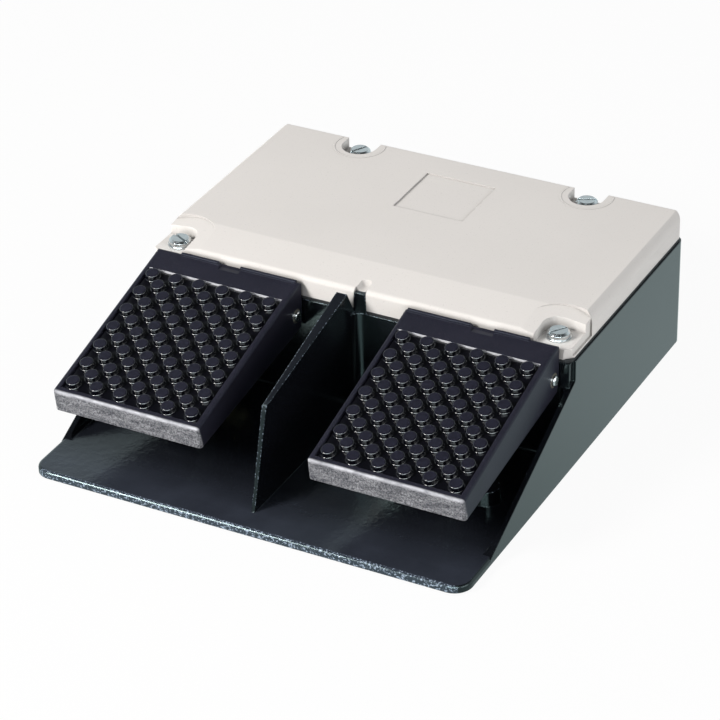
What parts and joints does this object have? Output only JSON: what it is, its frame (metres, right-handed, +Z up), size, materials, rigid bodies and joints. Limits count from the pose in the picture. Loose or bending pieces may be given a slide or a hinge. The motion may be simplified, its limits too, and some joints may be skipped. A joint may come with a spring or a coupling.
{
  "type": "industrial foot switch",
  "caption": "Industrial foot switch: cast tray housing with dividing rib, pale screwed cover and two sprung studded pedals that push rods onto contact blocks.",
  "frame": {"origin": "on the surface the feet stand on, below the middle of the casting's footprint", "axes": "+X to the right seen from the user's side, +Y to the rear (cable entries), +Z up"},
  "size_m": [0.25, 0.275, 0.0803],
  "materials": {
    "body": "glossy black powder coat on a die casting",
    "cover": "pale warm grey moulding, fine satin texture",
    "gasket": "black flat gasket",
    "pedal": "black glass-filled moulding, fine grain",
    "tread": "black rubber, satin studs",
    "zinc": "bright zinc plate",
    "pin": "ground steel",
    "bush": "natural polymer bearing",
    "buffer": "black rubber",
    "spring": "spring wire",
    "brass": "turned, bright",
    "block": "black contact block",
    "plunger": "red plunger",
    "strip": "ivory terminal strip",
    "plug": "black plug"
  },
  "bodies": {
    "housing": {"base_housing": "body", "cover": "cover", "cover_gasket": "gasket", "cover_screws": "zinc", "cover_screw_washers": "zinc", "pivot_retaining_rings": "zinc", "guide_bushes": "brass", "guide_bush_nuts": "brass", "rod_seals": "gasket", "pedal_stops": "buffer", "rest_buffers": "buffer", "switch_bracket_screws": "zinc", "switch_block_screws": "zinc", "switch_terminal_screws": "zinc", "terminal_block": "strip", "terminal_block_screws": "zinc", "terminal_clamp_screws": "zinc", "earth_washer": "zinc", "earth_screw": "brass", "blanking_plug": "plug", "blanking_plug_seal": "gasket", "rubber_feet": "buffer", "left_pivot_pin": "pin", "left_return_spring": "spring", "left_switch_block": "block", "left_switch_bracket": "zinc", "right_pivot_pin": "pin", "right_return_spring": "spring", "right_switch_block": "block", "right_switch_bracket": "zinc"},
    "left_pedal": {"left_pedal": "pedal", "left_tread_mat": "tread", "left_pedal_bushes": "bush"},
    "right_pedal": {"right_pedal": "pedal", "right_tread_mat": "tread", "right_pedal_bushes": "bush"},
    "left_rod": {"left_push_rod": "zinc", "left_switch_plunger": "plunger"},
    "right_rod": {"right_push_rod": "zinc", "right_switch_plunger": "plunger"}
  },
  "joints": [
    {"name": "left_pedal_press", "type": "hinge", "parent": "housing", "child": "left_pedal", "pos_m": [-0.0744, -0.018, 0.057], "axis": [1, 0, 0], "range_deg": [0, 12], "stiffness_Nm_per_rad": 4.8, "springref_deg": -11.97, "deforming": ["left_return_spring"]},
    {"name": "left_rod_travel", "type": "slide", "parent": "housing", "child": "left_rod", "axis": [0, 1, 0], "range_m": [0, 0.0048]},
    {"name": "right_pedal_press", "type": "hinge", "parent": "housing", "child": "right_pedal", "pos_m": [0.0744, -0.018, 0.057], "axis": [1, 0, 0], "range_deg": [0, 12], "stiffness_Nm_per_rad": 4.8, "springref_deg": -11.97, "deforming": ["right_return_spring"]},
    {"name": "right_rod_travel", "type": "slide", "parent": "housing", "child": "right_rod", "axis": [0, 1, 0], "range_m": [0, 0.0048]}
  ],
  "couplings": [
    {"joint": "left_rod_travel", "follows": "left_pedal_press", "m_per_rad": 0.0225},
    {"joint": "right_rod_travel", "follows": "right_pedal_press", "m_per_rad": 0.0225}
  ]
}
